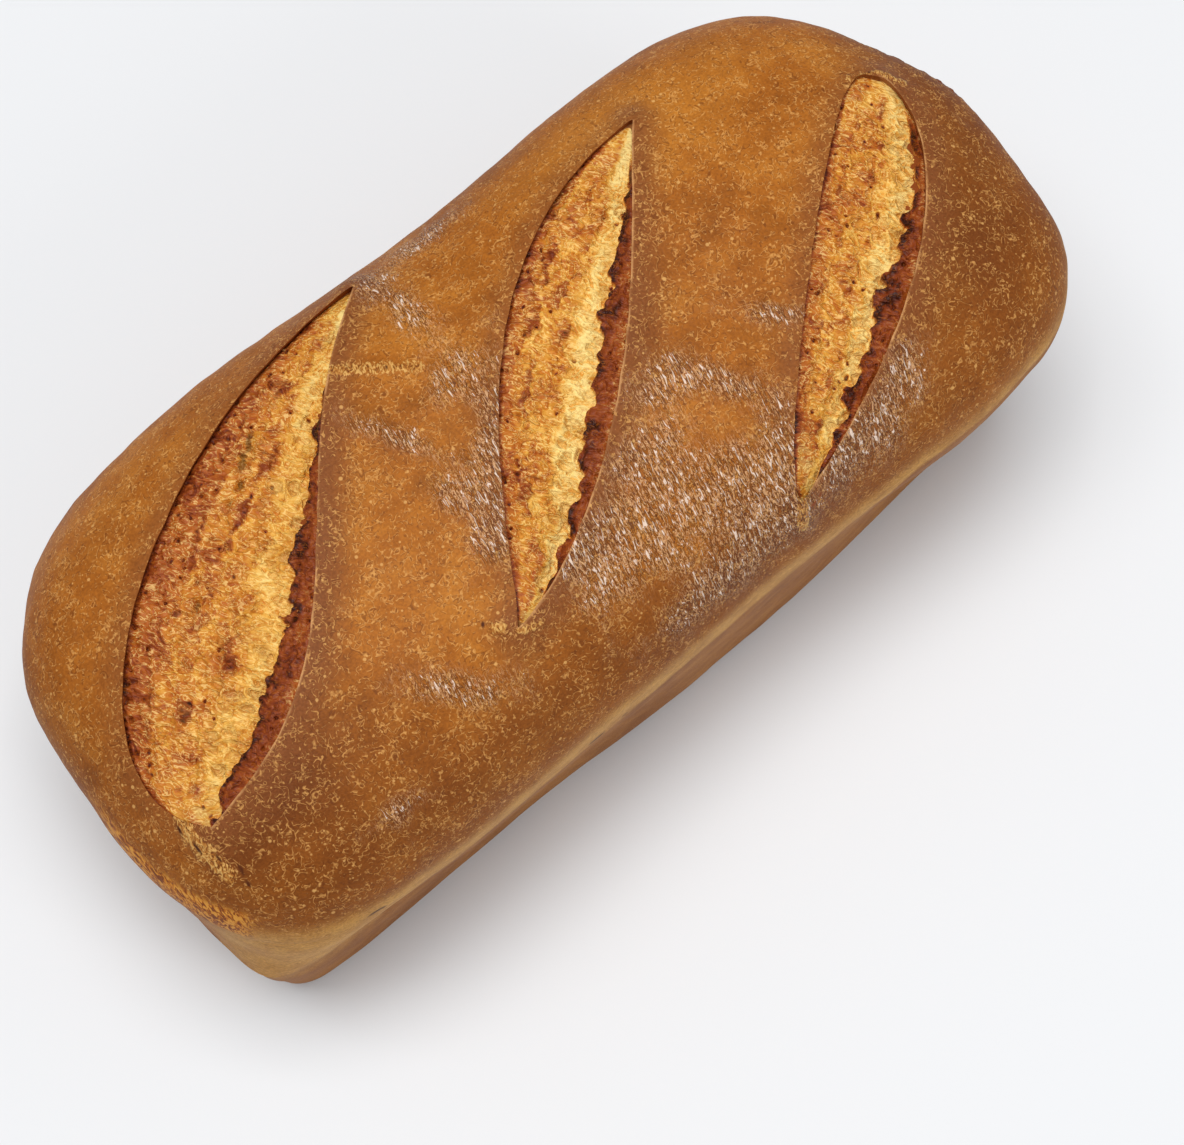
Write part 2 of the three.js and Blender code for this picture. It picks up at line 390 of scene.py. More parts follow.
def slash_cutter(slash, number):
    """A closed ring of points carried along a slash, from above the crust straight down to
    each lip, in under the lip, and across a floor below the torn crumb."""
    share = SLASH_TIP + (1 - 2 * SLASH_TIP) * smoothstep(np.linspace(0, 1, SLASH_STEPS + 1), 0, 1)
    left, right = -bulge(slash["left"], share), bulge(slash["right"], share)
    wander = 0.25 * noise(in_plan(share * 130, share * 0 + number), 7, 21)
    left, right = left - wander * (left < -1), right + wander * (right > 1)
    width = right - left
    deep = smoothstep(width, 0, 14)
    crust_level, above = 0 * share, SLASH_CLEARANCE + 0 * share
    under = UNDER_LEFT * deep
    ring = [(left, above), (left, crust_level)]
    ring += [(left - 0.2, -0.5 * deep - 0.05), (left - under, -1.5 * deep - 0.1)]
    for way in np.linspace(0, 1, FLOOR_STEPS + 1)[1:-1]:
        sink = (1.5 + 7 * sin(pi * way) ** 0.7) * deep + 0.1
        ring.append((left - under + (width + (UNDER_LEFT + UNDER_RIGHT) * deep) * way, -sink))
    ring += [(right + UNDER_RIGHT * deep, -1.3 * deep - 0.1), (right + 0.15, -0.4 * deep - 0.05)]
    ring += [(right, crust_level), (right, above)]
    offset, lift = (np.stack(part, 1) for part in zip(*ring))
    plan = slash_plan(slash, np.repeat(share[:, None], offset.shape[1], 1), offset)
    x, y = plan[..., 0], plan[..., 1]
    points = np.dstack([x, y, crown_height(x, y) + lift]).reshape(-1, 3)
    count = offset.shape[1]
    index = np.arange(len(points)).reshape(-1, count)
    following = np.roll(index, -1, axis=1)
    sides = np.stack([index[:-1], following[:-1], following[1:], index[1:]], -1).reshape(-1, 4)
    return points, [*sides.tolist(), index[0, ::-1].tolist(), index[-1].tolist()]


def cut_open(body, cutters):
    """Takes the cutters' solids out of the body, keeps the result as its mesh, and leaves
    edges sharper than 40 degrees crisp. The cutters are removed."""
    for cutter in cutters:
        cut = body.modifiers.new("slash", "BOOLEAN")
        cut.object, cut.operation, cut.solver = cutter, "DIFFERENCE", "EXACT"
    whole = body.evaluated_get(bpy.context.evaluated_depsgraph_get())
    mesh = bpy.data.meshes.new_from_object(whole)
    body.modifiers.clear()
    body.data = mesh
    mesh.set_sharp_from_angle(angle=radians(40))
    for cutter in cutters:
        bpy.data.objects.remove(cutter)


def points_of(piece):
    """A piece's points, in millimetres, before the loaf's middle was moved to the origin."""
    flat = np.empty(len(piece.data.vertices) * 3)
    piece.data.vertices.foreach_get("co", flat)
    return flat.reshape(-1, 3) / MM + MIDDLE


def give(piece, **values):
    """Stores a number for each point of a piece under each name, for its material to read."""
    for name, numbers in values.items():
        attribute = piece.data.attributes.new(name, "FLOAT", "POINT")
        attribute.data.foreach_set("value", np.ascontiguousarray(numbers, np.float32).ravel())


def spot(x, y, centre, size, lean=0.0):
    """A soft round or oval patch in plan: exp(-r^2), with r measured in `size` along each of
    two directions turned by `lean` degrees."""
    c, s = cos(radians(lean)), sin(radians(lean))
    dx, dy = x - centre[0], y - centre[1]
    return np.exp(-(((dx * c + dy * s) / size[0]) ** 2) - ((dy * c - dx * s) / size[1]) ** 2)


loaf_points, loaf_quads, loaf_fan = loaf_surface()
loaf_out = outward(loaf_points, loaf_quads)
loaf_points = loaf_points + loaf_out * risen(loaf_points)[:, None]
crust = object_from("crust", loaf_points, [*loaf_quads.tolist(), *loaf_fan.tolist()])
cut_open(crust, [object_from(f"cutter_{n}", *slash_cutter(slash, n)) for n, slash in enumerate(SLASHES)])

x, y, z = points_of(crust).T
left, right, inside = lip_distances(x, y)

# Where the skin dried tight and glossy, with painted highlights: centre, size and lean of
# each patch in plan.
SHINY = [
    ((-6, 34), (5, 16), 3), ((-12, -5), (24, 5), 50), ((-27, 10), (13, 3), -62), ((-9, -39), (14, 9), 0),
    ((10, -41), (20, 11), -15), ((30, -46), (12, 8), 0), ((25, -18), (8, 6), 0), ((37, -28), (15, 4), -58),
    ((56, -53), (15, 6), 0), ((70, -47), (7, 5), 0), ((-52, -40), (14, 4), -38), ((-77, -51.5), (7, 3), 0),
    ((14, -57), (28, 4), 0), ((55, -22), (10, 3), -45), ((10, 47), (14, 4), 0), ((-10, 12), (6, 5), 0),
    ((-26, -8), (6, 5), 0), ((-25, -21), (6, 5), 0), ((14, -28), (9, 6), 0),
]
# Where the oven browned the crust more, and with a minus sign less: centre, size, lean and
# strength of each patch.
BROWNED = [
    ((-98, -34), (27, 14), 5, 1.0), ((-60, -55), (70, 9), 0, 0.7), ((107, -12), (16, 22), 0, 0.65),
    ((98, -40), (32, 15), 0, 0.9), ((126, 12), (10, 34), 0, 0.75), ((-124, 8), (12, 34), 0, 0.35),
    ((30, -6), (20, 5), 38, 0.5), ((-84, 40), (30, 7), 20, 0.15), ((60, 54), (60, 5), 0, 0.1),
    ((40, -58), (60, 6), 0, 0.5), ((-17, 18), (16, 30), 0, -0.1), ((62, 36), (26, 12), -10, -0.8),
    ((-64, -2), (16, 8), 40, 0.75), ((-2, -24), (14, 8), 38, 0.3), ((-60, 28), (26, 8), 30, -0.3),
]
# Where the skin tore at the slashes' ends and once between two slashes: a line in plan, how
# far the tear reaches from it, and how much of it is torn.
TEARS = [
    ([(-112, -17), (-115, -27), (-114, -38)], 2.6, 1.0), ([(-31, 34), (-22, 27.6), (-13, 19.5)], 2.0, 1.0),
    ([(38, -51), (32, -58)], 2.2, 1.0), ([(108, 12.2), (114.5, 9.8), (118.2, 4)], 1.3, 0.9),
    ([(-38.6, -35.2), (-36.2, -37.2)], 1.5, 0.9), ([(-34.5, -39.6), (-29.5, -41)], 1.0, 0.8),
]
# Small holes in the skin, painted dark as the shade inside them: centre, size and lean.
HOLES = [
    ((-39.3, -33.8), (1.0, 0.5), 60), ((-111.2, -39), (0.5, 1.4), -10), ((-111.9, -42), (0.5, 1.2), 10),
    ((36.6, -53.2), (0.8, 1.8), -25), ((-18.6, 24.4), (0.5, 0.9), 0), ((-115.4, -29.5), (0.4, 2.6), -8),
    ((-116, -24.5), (0.4, 1.8), -15), ((113, 10.6), (0.9, 0.4), -30), ((-24.5, 30.3), (1.1, 0.3), -40),
    ((-113.2, -34), (0.4, 1.6), 0), ((-28, 32.2), (0.9, 0.3), -35),
]
plan = in_plan(x, y)
shine = sum(spot(x, y, *patch) for patch in SHINY)
shine = smoothstep(shine + 0.3 * layered_noise(plan, 7, 61), 0.1, 1.0) * smoothstep(z, 79, 93)
browned = sum(strength * spot(x, y, *patch) for *patch, strength in BROWNED)
browned = np.clip(browned + 0.2 * noise(plan, 16, 63), -1, 1) * smoothstep(z, 66, 86)
torn = np.zeros_like(x)
for line, reach, amount in TEARS:
    far = distance_to_line(x, y, np.array(line)) + 0.5 * noise(plan, 2.5, 65)
    torn = np.maximum(torn, amount * smoothstep(far, reach, 0.2 * reach))
holes = np.clip(sum(spot(x, y, *hole) for hole in HOLES), 0, 1)
# The near side's lip rolled softly over the tin's rim: a pale ridge runs along it, sharp
# below, higher towards the right end, and the whole corner at the left stayed pale.
facing = smoothstep(-y, 32, 46)
corner = facing * smoothstep(x, -86, -104)
wander = 2.0 * noise(plan, 18, 64) + 1.0 * noise(plan, 5, 68)
ridge_foot = 67 + 12 * smoothstep(x, 38, 66) - 67 * corner + 0.5 * wander
ridge_top = 84 + 4 * smoothstep(x, 38, 66) + 2 * corner + 0.6 * wander
ridge = facing * smoothstep(z, ridge_foot - 1.0, ridge_foot + 1.5) * smoothstep(z, ridge_top, ridge_top - 8)
ridge = ridge * smoothstep(z + wander, 34, 56)
smooth = facing * smoothstep(z, ridge_top + 5, ridge_top - 4)
below = facing * smoothstep(z, ridge_foot, ridge_foot - 2.0)
# Short cracks along the near side's lip, painted dark as the shade inside them.
slit_height = 68 + 8.5 * smoothstep(x, -80, -95) + 0.5 * wander
crack_shade = smoothstep(noise(plan * (1, 0, 0), 7, 66), -0.1, 0.3) * np.exp(-((z - slit_height) ** 2))
crack_shade = 0.75 * facing * crack_shade * smoothstep(x, 20, -30) * smoothstep(x, -102, -97)
shreds = smoothstep(x, -113, -119) * smoothstep(y + wander, 4, -16) * smoothstep(y, -51, -45)
shreds = shreds * smoothstep(np.abs(z - 83.5 + 0.6 * wander), 6.0, 4.0)
give(
    crust, lip_left=left, lip_right=right, shine=shine, browned=browned, ridge=ridge, smooth=smooth,
    side=np.maximum(smoothstep(z + wander, RIM_HEIGHT + 12, RIM_HEIGHT - 6), below),
    torn=torn * (z > WIDEST_HEIGHT) * (1 - inside), shreds=shreds,
    rim_tear=at_rim_tear(x, y, z + wander, 7), holes=np.maximum(holes * (z > WIDEST_HEIGHT), crack_shade),
)

# The faces that the slashes cut: those under an opening, and the steep ones along its lips.
count = len(crust.data.polygons)
centre, tilt = np.empty(count * 3), np.empty(count * 3)
crust.data.polygons.foreach_get("center", centre)
crust.data.polygons.foreach_get("normal", tilt)
face_x, face_y, face_z = (centre.reshape(-1, 3) / MM + MIDDLE).T
left, right, inside = lip_distances(face_x, face_y)
sunk = crown_height(face_x, face_y) - face_z
beside = (np.minimum(left, right) < 2.2) & ((sunk > 1.2) | (tilt.reshape(-1, 3)[:, 2] < 0.55))
cut = (face_z > 80) & (beside | (inside & (sunk > 0.6)))
cut = cut * (1 - 0.8 * spot(face_x, face_y, (112, 10), (8, 7)))
crust.data.attributes.new("cut", "FLOAT", "FACE").data.foreach_set("value", cut.astype(np.float32))


def colour(red, green, blue):
    """A screen colour, 0 to 255, as linear light: ((c + 0.055) / 1.055) ^ 2.4."""
    c = np.array([red, green, blue]) / 255
    return (*np.where(c > 0.04045, ((c + 0.055) / 1.055) ** 2.4, c / 12.92), 1)


def put(tree, kind, *inputs, **settings):
    """Adds a shader node. Each input is a pair: a socket's name or number, and either a value
    for it or the socket that feeds it."""
    made = tree.nodes.new("ShaderNode" + kind)
    for name, value in settings.items():
        setattr(made, name, value)
    for place, value in inputs:
        if isinstance(value, bpy.types.NodeSocket):
            tree.links.new(value, made.inputs[place])
        else:
            made.inputs[place].default_value = value
    return made


def new_material(name):
    """A material, its node tree, and its shader's inputs."""
    material = bpy.data.materials.new(name)
    material.use_nodes = True
    tree = material.node_tree
    return material, tree, tree.nodes["Principled BSDF"].inputs


def figure(tree, how, a, b=0.0, c=0.0):
    """A sum worked out by a Math node."""
    return put(tree, "Math", (0, a), (1, b), (2, c), operation=how).outputs[0]


def eased(tree, value, low, high, start=0.0, end=1.0):
    """A value between low and high made start to end, with a soft S between."""
    return put(
        tree, "MapRange", (0, value), (1, low), (2, high), (3, start), (4, end),
        interpolation_type="SMOOTHSTEP",
    ).outputs[0]


def times(tree, first, *others):
    """The product of two or more numbers."""
    for other in others:
        first = figure(tree, "MULTIPLY", first, other)
    return first


def line_at(tree, value, middle, edge, core):
    """1 within `core` of where a value passes a middle one, fading to 0 at `edge` from it."""
    return eased(tree, figure(tree, "ABSOLUTE", figure(tree, "SUBTRACT", value, middle)), edge, core)


def tint(tree, amount, under, over, how="MIX"):
    """One colour over another."""
    return put(tree, "Mix", (0, amount), (6, under), (7, over), data_type="RGBA", blend_type=how).outputs[2]


def stored(tree, name):
    """A number that the piece stores at its points or its faces."""
    return put(tree, "Attribute", attribute_name=name).outputs["Fac"]


def shades(tree, value, *stops):
    """A colour ramp from pairs of place and colour."""
    made = put(tree, "ValToRGB", (0, value))
    ramp = made.color_ramp
    while len(ramp.elements) < len(stops):
        ramp.elements.new(1.0)
    for element, (place, tone) in zip(ramp.elements, stops):
        element.position, element.color = place, tone
    return made.outputs[0]


def in_millimetres(tree, stretch=(1, 1, 1), turn=0.0):
    """The place on the loaf in millimetres, seen from above in axes turned by `turn` degrees,
    along each of which lengths are shrunk by `stretch`, so that a pattern is stretched by it."""
    place = put(tree, "TexCoord").outputs["Object"]
    scale = tuple(s * MM for s in stretch)
    return put(
        tree, "Mapping", ("Vector", place), ("Rotation", (0, 0, radians(turn))), ("Scale", scale),
        vector_type="TEXTURE",
    ).outputs[0]


def grain(tree, place, size, detail=2.0, warp=0.0):
    """Noise about 0.5, with features of that size in millimetres."""
    return put(
        tree, "TexNoise", ("Vector", place), ("Scale", 1 / size), ("Detail", detail), ("Distortion", warp),
    ).outputs["Fac"]


def fleck_group():
    """Flecks of bran: round dots, one in some of the cells of a scattered lattice, and short
    curls, which are stretches of the lines where a warped noise passes through a middle value.
    Curls comes with Shade, the same lines a little to one side: the painted shadow that
    each curl casts."""
    tree = bpy.data.node_groups.new("bran_flecks", "ShaderNodeTree")
    tree.interface.new_socket("Place", in_out="INPUT", socket_type="NodeSocketVector")
    tree.interface.new_socket("Size", in_out="INPUT", socket_type="NodeSocketFloat")
    tree.interface.new_socket("Plenty", in_out="INPUT", socket_type="NodeSocketFloat")
    for name in ("Dots", "Curls", "Shade"):
        tree.interface.new_socket(name, in_out="OUTPUT", socket_type="NodeSocketFloat")
    inward = tree.nodes.new("NodeGroupInput").outputs
    place = ("Vector", inward["Place"])
    scale = figure(tree, "DIVIDE", 1.0, inward["Size"])
    cells = put(tree, "TexVoronoi", place, ("Scale", scale), feature="F1")
    lot = put(tree, "SeparateColor", (0, cells.outputs["Color"])).outputs
    radius = figure(tree, "MULTIPLY_ADD", lot[0], 0.12, 0.06)
    chosen = figure(tree, "LESS_THAN", lot[1], times(tree, inward["Plenty"], 0.7))
    dots = eased(tree, figure(tree, "SUBTRACT", cells.outputs["Distance"], radius), 0.05, -0.05)
    warped = put(tree, "TexNoise", place, ("Scale", scale), ("Detail", 0.5), ("Distortion", 1.0))
    thin = figure(tree, "DIVIDE", 0.09, inward["Size"])
    curls = line_at(tree, warped.outputs["Fac"], 0.48, thin, 0.005)
    shade = line_at(tree, warped.outputs["Fac"], 0.545, thin, 0.005)
    gate = put(tree, "TexNoise", place, ("Scale", times(tree, scale, 1.3)), ("Detail", 0.0))
    opening = figure(tree, "MULTIPLY_ADD", inward["Plenty"], -0.4, 0.72)
    shown = eased(tree, figure(tree, "SUBTRACT", gate.outputs["Fac"], opening), -0.05, 0.05)
    ends = tree.nodes.new("NodeGroupOutput").inputs
    tree.links.new(times(tree, dots, chosen), ends["Dots"])
    tree.links.new(times(tree, curls, shown), ends["Curls"])
    tree.links.new(times(tree, shade, shown), ends["Shade"])
    return tree


bran_flecks = fleck_group()


def flecks(tree, place, size, plenty):
    """The bran fleck group, placed in a material: its dots, its curls and their painted shadow."""
    inputs = ("Place", place), ("Size", size), ("Plenty", plenty)
    return tuple(put(tree, "Group", *inputs, node_tree=bran_flecks).outputs)


def crust_material():
    """Baked crust: golden brown, browner in patches and beside the slashes, strewn with pale
    bran with a painted shadow beside each curl; crinkled and glossy where the dough's skin dried
    tight, with painted highlights and painted shade in the crinkles there and a painted
    highlight along each right lip; torn at the slashes' ends, with small holes and cracks
    painted dark as the shade inside them; plain paler sides under a soft pale lip whose
    creases hold painted shade."""
    material, tree, surface = new_material("baked_crust")
    place = in_millimetres(tree)
    broad = grain(tree, place, 30, 2.0)
    mottled = grain(tree, place, 6, 3.0)
    tone = figure(tree, "ADD", times(tree, broad, 0.5), times(tree, mottled, 0.5))
    skin = shades(
        tree, tone,
        (0.36, colour(138, 76, 17)), (0.5, colour(158, 90, 24)), (0.64, colour(174, 106, 34)),
    )
    browned, shine = stored(tree, "browned"), stored(tree, "shine")
    skin = tint(tree, figure(tree, "MAXIMUM", browned, 0.0), skin, colour(106, 54, 16))
    skin = tint(tree, times(tree, browned, -1.0), skin, colour(184, 116, 38))
    left_dusk = eased(tree, stored(tree, "lip_left"), 8, 0.5, 0, 0.55)
    right_dusk = eased(tree, stored(tree, "lip_right"), 10, 1, 0, 0.85)
    skin = tint(tree, figure(tree, "MAXIMUM", left_dusk, right_dusk), skin, colour(124, 70, 34))

    # The tin-baked sides, and the pale creased ridge along the near one, with painted shade in its
    # creases.
    side, ridge, smooth = stored(tree, "side"), stored(tree, "ridge"), stored(tree, "smooth")
    skin = tint(tree, times(tree, smooth, 0.45), skin, colour(150, 88, 24))
    walls = shades(
        tree, tone,
        (0.36, colour(134, 78, 22)), (0.5, colour(150, 92, 30)), (0.64, colour(164, 106, 40)),
    )
    skin = tint(tree, side, skin, walls)
    pale_ridge = times(tree, ridge, eased(tree, mottled, 0.3, 0.7, 0.55, 0.95))
    skin = tint(tree, pale_ridge, skin, colour(200, 148, 72))
    creases = grain(tree, in_millimetres(tree, (8, 8, 1.6)), 1, 2.0, 1.2)
    crease_shade = line_at(tree, creases, 0.46, 0.03, 0.005)
    skin = tint(tree, times(tree, crease_shade, ridge, 0.3), skin, colour(112, 60, 20))
    pale_crease = line_at(tree, creases, 0.54, 0.03, 0.005)
    skin = tint(tree, times(tree, pale_crease, ridge, 0.25), skin, colour(226, 180, 112))

    # The bran, scarcer on the sides and the ridge.
    clear = figure(tree, "MULTIPLY_ADD", figure(tree, "MAXIMUM", side, ridge), -0.8, 1.0)
    coarse = grain(tree, place, 0.6, 1.0)
    dapple = shades(
        tree, coarse, (0.32, (0.87, 0.85, 0.82, 1)), (0.5, (1, 1, 1, 1)), (0.68, (1.13, 1.15, 1.18, 1)),
    )
    skin = tint(tree, 1.0, skin, dapple, "MULTIPLY")
    plenty = eased(tree, mottled, 0.35, 0.65, 0.35, 0.7)
    dots, curls, shade = flecks(tree, place, 2.6, plenty)
    small_dots, small_curls, small_shade = flecks(tree, place, 1.5, plenty)
    # Painted shadow beside each curl of bran.
    curl_shadow = figure(tree, "MAXIMUM", shade, small_shade)
    skin = tint(tree, times(tree, curl_shadow, clear, 0.5), skin, colour(92, 42, 10))
    curls = times(tree, figure(tree, "MAXIMUM", curls, small_curls), eased(tree, coarse, 0.3, 0.7, 0.3, 0.9))
    skin = tint(tree, times(tree, curls, clear, 0.75), skin, colour(214, 158, 88))
    dots = figure(tree, "MAXIMUM", dots, small_dots)
    skin = tint(tree, times(tree, dots, clear, 0.6), skin, colour(222, 170, 100))

    # The glossy crinkled skin, with painted shade in its creases and painted highlights and
    # glints on it, and a painted highlight along the edge of each right lip.
    crinkle = grain(tree, in_millimetres(tree, (0.6, 2.6, 1.6), -11), 1, 1.5, 1.0)
    crinkle_shade = times(tree, line_at(tree, crinkle, 0.45, 0.05, 0.01), shine, 0.85)
    skin = tint(tree, crinkle_shade, skin, colour(86, 42, 14))
    crinkle_highlight = times(tree, line_at(tree, crinkle, 0.53, 0.045, 0.01), shine, 0.75)
    skin = tint(tree, crinkle_highlight, skin, colour(212, 166, 120))
    glint_highlight = figure(tree, "MULTIPLY_ADD", figure(tree, "MULTIPLY_ADD", mottled, 0.5, shine), 0.2, crinkle)
    glint_highlight = times(tree, eased(tree, glint_highlight, 0.84, 0.91), eased(tree, shine, 0.02, 0.4, 0, 0.8))
    skin = tint(tree, glint_highlight, skin, colour(238, 216, 198))
    # A painted highlight along the edge of each right lip, broken up by the mottling.
    lip_highlight = eased(tree, stored(tree, "lip_right"), 0.6, 0.1)
    lip_highlight = times(tree, lip_highlight, eased(tree, mottled, 0.4, 0.6, 0.1, 0.7))
    skin = tint(tree, lip_highlight, skin, colour(206, 152, 98))

    # Where the skin tore or was cut.
    torn = stored(tree, "torn")
    threads = grain(tree, in_millimetres(tree, (0.8, 1.7, 1.2), -30), 1, 1.5, 1.5)
    web = shades(
        tree, threads,
        (0.34, colour(96, 46, 14)), (0.4, colour(152, 90, 32)),
        (0.5, colour(186, 124, 54)), (0.6, colour(222, 172, 98)),
    )
    frayed = figure(tree, "MULTIPLY_ADD", figure(tree, "SUBTRACT", threads, 0.5), 1.6, torn)
    skin = tint(tree, eased(tree, frayed, 0.35, 0.7, 0, 0.8), skin, web)
    shreds = shades(
        tree, crinkle,
        (0.4, colour(124, 60, 12)), (0.48, colour(184, 104, 20)), (0.58, colour(214, 148, 56)),
    )
    skin = tint(tree, stored(tree, "shreds"), skin, shreds)
    skin = tint(tree, times(tree, stored(tree, "rim_tear"), 0.8), skin, colour(118, 54, 20))
    # Holes and cracks, painted dark as the shade inside them.
    skin = tint(tree, eased(tree, stored(tree, "holes"), 0.25, 0.8), skin, colour(76, 34, 12))
    skin = tint(tree, stored(tree, "cut"), skin, colour(134, 68, 27))
    tree.links.new(skin, surface["Base Color"])

    height = times(tree, coarse, 0.12)
    height = figure(tree, "MULTIPLY_ADD", times(tree, crinkle, shine), 0.9, height)
    height = figure(tree, "MULTIPLY_ADD", times(tree, threads, torn), 0.7, height)
    bump = put(tree, "Bump", ("Height", height), ("Distance", 0.001), ("Strength", 1.0))
    tree.links.new(bump.outputs[0], surface["Normal"])
    tree.links.new(figure(tree, "MULTIPLY_ADD", shine, -0.12, 0.58), surface["Roughness"])
    tree.links.new(figure(tree, "MULTIPLY_ADD", shine, 0.08, 0.13), surface["Specular IOR Level"])
    return material


crust.data.materials.clear()
crust.data.materials.append(crust_material())
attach(crust, "root")
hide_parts("loaf")

# ---------------------------------------------------------------------------------------
# The torn crumb: the bread that each slash laid open as it rose. It was pulled apart into
# cells and strands, and the oven toasted it most where it opened first, beside the left
# lip and up the inner face of the right one.
# ---------------------------------------------------------------------------------------

CRUMB_STEPS = (500, 186)  # along a slash and across it
CRUMB_PAST_TIP = 0.004    # share of the length that the sheet runs on past each tip
CRUMB_LEFT, CRUMB_RIGHT = 1.0, 0.7       # how far it runs in under each lip
# Where the crumb tore open again, with painted shade in each crevice: share of the length
# where each crevice starts and ends, its offset across the slash, and its half width, for
# each slash.
CREVICES = [[(0.28, 0.49, -12.8, 0.8), (0.56, 0.68, -15.2, 0.7), (0.12, 0.2, -5.5, 0.6)], [], []]
FRONT_SPACING = [8.2, 6.6, 5.6]    # between two fronts of one slash's torn face
TOASTED = [0.59, 0.51, 0.53]       # how toasted each slash's face is, from 0 to 1
FRESH_PALER = [0.22, 0.27, 0.27]   # how much less the strip is that opened last


def scattered_cells(along, across, size, seed):
    """Distances to the nearest and the second nearest of points strewn one in each square of
    a lattice, in squares, and a random number that belongs to the nearest."""
    u, v = along / size, across / size
    near, second, lot = (np.full(u.shape, start) for start in (9.0, 9.0, 0.0))
    for du in (-1, 0, 1):
        for dv in (-1, 0, 1):
            cell = np.stack([np.floor(u) + du, np.floor(v) + dv, 0 * u], -1)
            reach = np.hypot(cell[..., 0] + mixed(cell, seed) - u, cell[..., 1] + mixed(cell, seed + 1) - v)
            second = np.minimum(second, np.maximum(near, reach))
            lot = np.where(reach < near, mixed(cell, seed + 2), lot)
            near = np.minimum(near, reach)
    return near, second, lot


def crumb_sheet(slash, number):
    """The torn face of one slash, from under the left lip to under the right one, closed by a
    plain underside, as points and faces, and for each point how toasted it is, how much painted
    shade lies in its open cell, and how deep a crevice runs there, which also sets the painted
    shade in the crevices. The face steps down from left to right in fronts, each toasted in
    patches along its crest, with broader scorched patches over them. Thin strands run across it
    where a warped noise passes zero, smooth cells lie open in the fresh strip, and the dark
    inner face of the right lip, with a ragged edge, stands over them."""
    length = slash_axes(slash)[1]
    share, over = np.meshgrid(*(np.linspace(0, 1, n + 1) for n in CRUMB_STEPS), indexing="ij")
    share = share * (1 + 2 * CRUMB_PAST_TIP) - CRUMB_PAST_TIP
    left, right = bulge(slash["left"], share), bulge(slash["right"], share)
    width = left + right
    offset = -left - CRUMB_LEFT + over * (width + CRUMB_LEFT + CRUMB_RIGHT)
    along, from_left, from_right = share * length, offset + left, right - offset
    deep = smoothstep(width, 0, 16) * (0.2 + 0.8 * smoothstep(np.minimum(along, length - along), 0, 15))

    here = np.stack([along, offset, 0 * along + 40 * number], -1)
    swirled = here + 2.0 * np.stack([noise(here, 4, 27), noise(here, 4, 28), 0 * along], -1)
    strands = smoothstep(np.abs(noise(swirled / (1.6, 3.4, 1), 1, 31)), 0.36, 0.08)
    thin_strands = smoothstep(np.abs(noise(swirled / (1.1, 2.1, 1), 1, 30)), 0.36, 0.08)
    strands = np.maximum(strands, 0.8 * thin_strands)
    wisps = noise(here / (0.75, 2.4, 1), 1, 29) + 0.6 * noise(here / (0.45, 1.3, 1), 1, 32)
    lumps = noise(here * (0.6, 1, 1), 6, 33) + 0.6 * noise(here, 3.2, 34)
    rough = noise(here, 1.2, 35)
    scorched = noise(swirled * (1, 0.5, 1), 5, 46) + 0.25 * wisps
    front = from_left + 2.4 * noise(here, 14, 36) + 2.1 * noise(here, 5, 37) + 0.9 * noise(here, 2.1, 26)
    t = ((front + 0.5 * wisps) / FRONT_SPACING[number]) % 1
    crest = smoothstep(t, 0.35, 0.9) * smoothstep(t, 1.0, 0.95)
    crest = crest * smoothstep(noise(here * (0.6, 1, 1), 3.8, 38) + 0.4 * rough + 0.15 * wisps, -0.15, 0.5)
    near, second, lot = scattered_cells(along + 0.35 * wisps, 0.6 * offset + 0.4 * lumps, 2.6, 41 + number)
    pits = smoothstep(second - near, 0.06, 0.5) * smoothstep(lot, 0.15, 0.9)

    wall = bulge(slash["wall"], share)
    ragged = 2.5 * noise(here, 5, 39) + 1.1 * noise(here, 2.2, 40) + 0.3 * wisps
    tear = from_right - wall + ragged * smoothstep(wall, 0.3, 2.5)
    walled = smoothstep(tear, 0.15, -0.15) * smoothstep(wall, 0.15, 0.8)
    k = np.clip(from_left / np.maximum(from_left + np.maximum(tear, 0), 0.2), 0, 1)
    climb = np.clip(1 - from_right / np.maximum(wall, 0.3), 0, 1)
    in_bands = from_left / np.maximum(bulge(slash["band"], share), 0.4)
    band = smoothstep(in_bands + 0.35 * lumps + 0.15 * wisps, 1.3, 0.6)
    fresh = smoothstep(k + 0.1 * noise(here, 6, 42) + 0.05 * wisps, 0.6, 0.8)
    face = (1 - band) * (1 - fresh)
    pore_near, _, pore_lot = scattered_cells(along + 0.5 * rough, offset, 3.0, 51 + number)
    pores = smoothstep(pore_near, (0.1 + 0.16 * pore_lot) * (1 + 0.4 * band), 0.03)
    pores = pores * (pore_lot > 0.88 - 0.34 * band - 0.3 * walled)
    crevice_shade = np.zeros_like(share)
    for first, last, middle, half in CREVICES[number]:
        reach = (offset - middle + 1.6 * noise(here, 7, 43) + 0.5 * wisps) / half
        stretch = smoothstep(share, first, first + 0.06) * smoothstep(share, last, last - 0.06)
        crevice_shade = np.maximum(crevice_shade, np.exp(-(reach**2)) * stretch)
    crevice_shade = crevice_shade * smoothstep(noise(here, 4, 44), -0.5, 0.1) * (1 - walled)

    pale = 0.9 * lumps + 0.1 * wisps + 0.55 * strands + 0.9 * crest * (1 - band)
    pale = pale - (0.9 + 0.4 * fresh) * pits * (1 - 0.6 * band)
    pale = deep * (pale - 1.6 - 3.4 * k**1.3 - 1.6 * crevice_shade)
    inner = deep * (0.8 * lumps + 0.4 * rough + 0.4 * strands - 3.4 + 2.3 * climb)
    lift = pale + (inner - pale) * walled - 0.9 * pores * deep
    margin = smoothstep(np.minimum(from_left, from_right), 0, 2.5)
    lift = np.minimum(lift, -0.9 * deep * (1 - margin) - 0.3) - 0.1

